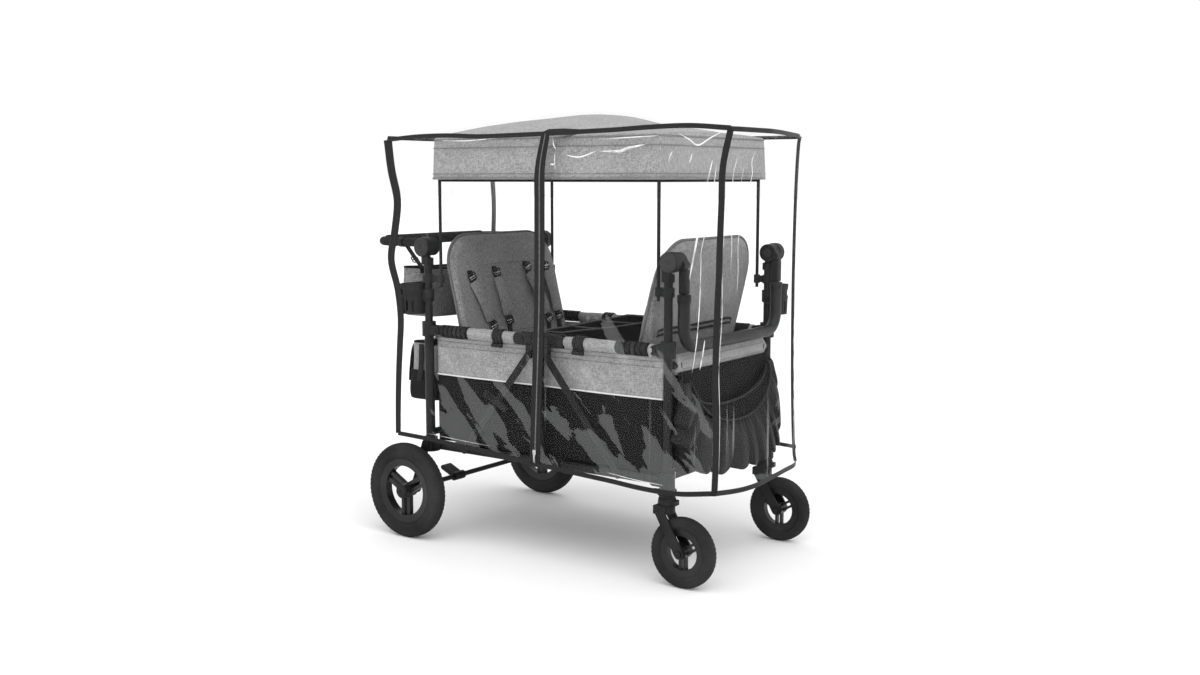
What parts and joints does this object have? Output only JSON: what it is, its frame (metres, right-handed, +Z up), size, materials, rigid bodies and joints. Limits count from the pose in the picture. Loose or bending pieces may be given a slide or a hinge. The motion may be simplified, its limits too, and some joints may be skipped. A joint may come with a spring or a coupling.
{
  "type": "stroller wagon",
  "caption": "Folding stroller wagon with facing bench seats, a canopy, a clear rain cover, a push handle, a swinging pull handle and swivel front wheels.",
  "frame": {"origin": "on the floor, under the middle of the wagon's bounding box", "axes": "+X towards the pull handle at the front, +Y to the wagon's left, +Z up"},
  "size_m": [1.327, 0.762, 1.3475],
  "materials": {
    "frame_coat": "matte",
    "moulding": "matte",
    "grip_rubber": "matte",
    "steel": "satin",
    "tyre_rubber": "matte",
    "rim_plastic": "satin",
    "button_plastic": "satin",
    "fabric_seat": "matte",
    "fabric_light": "matte",
    "fabric_black": "matte",
    "board": "matte",
    "rod_glassfibre": "satin",
    "clear_film": "gloss",
    "trim_tape": "matte",
    "piping_white": "matte",
    "webbing": "matte"
  },
  "bodies": {
    "rear_frame": {"rear_posts": "frame_coat", "rear_brackets": "moulding", "rear_underframe": "frame_coat", "rear_axle": "steel", "push_hubs": "moulding", "cup_holder_rear": "moulding", "console_bag": "fabric_seat", "storage_bag": "fabric_seat", "tub_rear": "fabric_light", "bench_rear": "fabric_seat"},
    "push_handle": {"push_handle": "grip_rubber"},
    "push_button_left": {"push_button_left": "button_plastic"},
    "push_button_right": {"push_button_right": "button_plastic"},
    "brake_pedal": {"brake_pedal": "moulding"},
    "rear_wheel_left": {"rear_tyre_left": "tyre_rubber", "rear_rim_left": "rim_plastic"},
    "rear_wheel_right": {"rear_tyre_right": "tyre_rubber", "rear_rim_right": "rim_plastic"},
    "seat_rear": {"seat_back_rear": "fabric_seat"},
    "rear_rails": {"rear_rails": "frame_coat", "rear_grips": "grip_rubber"},
    "centre": {"centre_hubs": "moulding", "centre_posts": "frame_coat", "organiser": "fabric_black"},
    "front_rails": {"front_rails": "frame_coat", "front_grips": "grip_rubber"},
    "rear_lower": {"rear_lower_rails": "frame_coat", "floor_rear": "board"},
    "front_lower": {"front_lower_rails": "frame_coat", "floor_front": "board"},
    "brace_rear": {"braces_rear": "frame_coat"},
    "brace_front": {"braces_front": "frame_coat"},
    "front_frame": {"front_posts": "frame_coat", "front_brackets": "moulding", "front_cross_tubes": "frame_coat", "caster_housings": "moulding", "pull_hubs": "moulding", "cup_holder_front": "moulding", "front_pocket": "fabric_black", "tub_front": "fabric_light", "bench_front": "fabric_seat"},
    "seat_front": {"seat_back_front": "fabric_seat"},
    "pull_arms": {"pull_arms": "frame_coat"},
    "pull_handle": {"pull_handle": "frame_coat"},
    "pull_button_left": {"pull_button_left": "button_plastic"},
    "pull_button_right": {"pull_button_right": "button_plastic"},
    "caster_left": {"caster_fork_left": "moulding"},
    "caster_right": {"caster_fork_right": "moulding"},
    "front_wheel_left": {"front_tyre_left": "tyre_rubber", "front_rim_left": "rim_plastic"},
    "front_wheel_right": {"front_tyre_right": "tyre_rubber", "front_rim_right": "rim_plastic"},
    "canopy_rear": {"canopy_bow_rear": "frame_coat", "canopy_ribs": "rod_glassfibre", "canopy_roof": "fabric_light", "cover_top": "clear_film", "cover_sides": "clear_film", "cover_rear": "clear_film"},
    "canopy_front": {"canopy_bow_front": "frame_coat", "cover_front": "clear_film"}
  },
  "joints": [
    {"name": "fold", "type": "hinge", "parent": "rear_frame", "child": "rear_rails", "pos_m": [-0.3765, 0, 0.668], "axis": [0, -1, 0], "range_deg": [0, 60], "deforming": ["tub_rear", "tub_front", "bench_rear", "bench_front", "organiser", "canopy_ribs", "canopy_roof", "cover_top", "cover_sides", "cover_front"]},
    {"name": "hub_level", "type": "hinge", "parent": "rear_rails", "child": "centre", "pos_m": [-0.0265, 0, 0.668], "axis": [0, -1, 0], "range_deg": [-60, 0]},
    {"name": "front_rail_fold", "type": "hinge", "parent": "centre", "child": "front_rails", "pos_m": [0.0935, 0, 0.668], "axis": [0, -1, 0], "range_deg": [-60, 0]},
    {"name": "front_end_level", "type": "hinge", "parent": "front_rails", "child": "front_frame", "pos_m": [0.4435, 0, 0.668], "axis": [0, -1, 0], "range_deg": [0, 60]},
    {"name": "rear_lower_fold", "type": "hinge", "parent": "rear_frame", "child": "rear_lower", "pos_m": [-0.3765, 0, 0.297], "axis": [0, -1, 0], "range_deg": [0, 60]},
    {"name": "front_lower_fold", "type": "hinge", "parent": "front_frame", "child": "front_lower", "pos_m": [0.4435, 0, 0.297], "axis": [0, -1, 0], "range_deg": [-60, 0]},
    {"name": "brace_rear_swing", "type": "hinge", "parent": "centre", "child": "brace_rear", "pos_m": [0.0005, 0, 0.622], "axis": [0, -1, 0], "range_deg": [0, 28]},
    {"name": "brace_front_swing", "type": "hinge", "parent": "centre", "child": "brace_front", "pos_m": [0.0665, 0, 0.622], "axis": [0, -1, 0], "range_deg": [-28, 0]},
    {"name": "rear_wheel_left_spin", "type": "hinge", "parent": "rear_frame", "child": "rear_wheel_left", "pos_m": [-0.4635, 0.355, 0.1525], "axis": [0, 1, 0], "continuous": true},
    {"name": "rear_wheel_right_spin", "type": "hinge", "parent": "rear_frame", "child": "rear_wheel_right", "pos_m": [-0.4635, -0.355, 0.1525], "axis": [0, 1, 0], "continuous": true},
    {"name": "caster_left_swivel", "type": "hinge", "parent": "front_frame", "child": "caster_left", "pos_m": [0.4805, 0.2935, 0.23], "axis": [0, 0, 1], "continuous": true},
    {"name": "caster_right_swivel", "type": "hinge", "parent": "front_frame", "child": "caster_right", "pos_m": [0.4805, -0.2935, 0.23], "axis": [0, 0, 1], "continuous": true},
    {"name": "front_wheel_left_spin", "type": "hinge", "parent": "caster_left", "child": "front_wheel_left", "pos_m": [0.5355, 0.2935, 0.1015], "axis": [0, 1, 0], "continuous": true},
    {"name": "front_wheel_right_spin", "type": "hinge", "parent": "caster_right", "child": "front_wheel_right", "pos_m": [0.5355, -0.2935, 0.1015], "axis": [0, 1, 0], "continuous": true},
    {"name": "push_handle_tilt", "type": "hinge", "parent": "rear_frame", "child": "push_handle", "pos_m": [-0.4175, 0, 0.931], "axis": [0, 1, 0], "range_deg": [-25, 20]},
    {"name": "push_button_left_press", "type": "slide", "parent": "push_handle", "child": "push_button_left", "axis": [0, 1, 0], "range_m": [0, 0.004], "stiffness_N_per_m": 400},
    {"name": "push_button_right_press", "type": "slide", "parent": "push_handle", "child": "push_button_right", "axis": [0, -1, 0], "range_m": [0, 0.004], "stiffness_N_per_m": 400},
    {"name": "pull_handle_swing", "type": "hinge", "parent": "front_frame", "child": "pull_arms", "pos_m": [0.4945, 0, 0.915], "axis": [0, -1, 0], "range_deg": [0, 135], "deforming": ["cover_front"]},
    {"name": "pull_handle_extend", "type": "slide", "parent": "pull_arms", "child": "pull_handle", "axis": [0, 0, -1], "range_m": [0, 0.085]},
    {"name": "pull_button_left_press", "type": "slide", "parent": "pull_arms", "child": "pull_button_left", "axis": [0, 1, 0], "range_m": [0, 0.004], "stiffness_N_per_m": 400},
    {"name": "pull_button_right_press", "type": "slide", "parent": "pull_arms", "child": "pull_button_right", "axis": [0, -1, 0], "range_m": [0, 0.004], "stiffness_N_per_m": 400},
    {"name": "brake_press", "type": "hinge", "parent": "rear_frame", "child": "brake_pedal", "pos_m": [-0.4635, 0, 0.1525], "axis": [0, -1, 0], "range_deg": [0, 22]},
    {"name": "seat_rear_recline", "type": "hinge", "parent": "rear_frame", "child": "seat_rear", "pos_m": [-0.2735, 0, 0.6], "axis": [0, 1, 0], "range_deg": [0, 12]},
    {"name": "seat_front_recline", "type": "hinge", "parent": "front_frame", "child": "seat_front", "pos_m": [0.3405, 0, 0.6], "axis": [0, -1, 0], "range_deg": [0, 12]},
    {"name": "canopy_lift_rear", "type": "slide", "parent": "rear_frame", "child": "canopy_rear", "axis": [0, 0, 1], "range_m": [0, 0.15]},
    {"name": "canopy_lift_front", "type": "slide", "parent": "front_frame", "child": "canopy_front", "axis": [0, 0, 1], "range_m": [0, 0.15]}
  ],
  "couplings": [
    {"joint": "hub_level", "follows": "fold", "ratio": -1},
    {"joint": "front_rail_fold", "follows": "fold", "ratio": -1},
    {"joint": "front_end_level", "follows": "fold", "ratio": 1},
    {"joint": "rear_lower_fold", "follows": "fold", "ratio": 1},
    {"joint": "front_lower_fold", "follows": "fold", "ratio": -1},
    {"joint": "brace_rear_swing", "follows": "fold", "ratio": 0.46},
    {"joint": "brace_front_swing", "follows": "fold", "ratio": -0.46},
    {"joint": "canopy_lift_front", "follows": "canopy_lift_rear", "ratio": 1}
  ]
}
